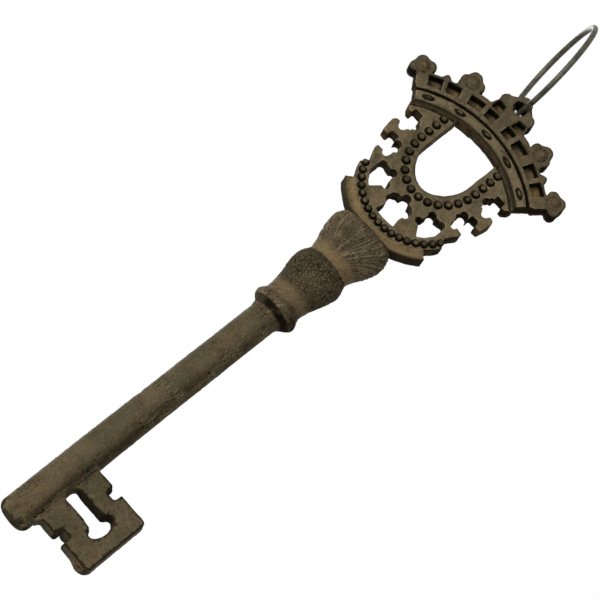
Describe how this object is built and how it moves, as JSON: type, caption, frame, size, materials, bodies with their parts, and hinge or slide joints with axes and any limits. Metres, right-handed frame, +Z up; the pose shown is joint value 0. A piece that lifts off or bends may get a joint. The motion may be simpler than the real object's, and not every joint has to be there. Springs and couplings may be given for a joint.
{
  "type": "giant decorative key",
  "caption": "Giant cast-iron decorative key with a crowned, pierced bow, turned stem and slotted plate bit, hung by a plain wire ring.",
  "frame": {"origin": "point inside the top of the hanging ring where it rests on its hook", "axes": "+Z up along the key's stem, bit end lowest; the moulded front faces -Y; the bit points to +X"},
  "size_m": [0.1208, 0.0708, 0.4419],
  "materials": {
    "grey_iron": "rough sand casting, brown-grey patina",
    "worn_iron": "rough sand casting, worn lighter",
    "rusty_iron": "rough sand casting, brown rust",
    "ring_wire": "dull steel wire, aged brown-grey"
  },
  "bodies": {
    "ring": {"hanging_ring": "ring_wire"},
    "key": {"shank": "grey_iron", "bit": "grey_iron", "collar": "grey_iron", "lower_vase": "grey_iron", "upper_vase": "worn_iron", "cradle": "rusty_iron", "tracery": "grey_iron", "shield_beads": "worn_iron", "rim_beads": "worn_iron", "crown_band": "worn_iron", "band_gems": "rusty_iron", "arcade": "grey_iron", "hanger_lug": "worn_iron", "inner_finial_left": "worn_iron", "inner_finial_right": "worn_iron", "outer_finial_left": "worn_iron", "outer_finial_right": "worn_iron"}
  },
  "joints": [
    {"name": "key_swing", "type": "hinge", "parent": "ring", "child": "key", "pos_m": [0.01144, 0, -0.06715], "axis": [0, 1, 0], "range_deg": [-120, 104]}
  ]
}
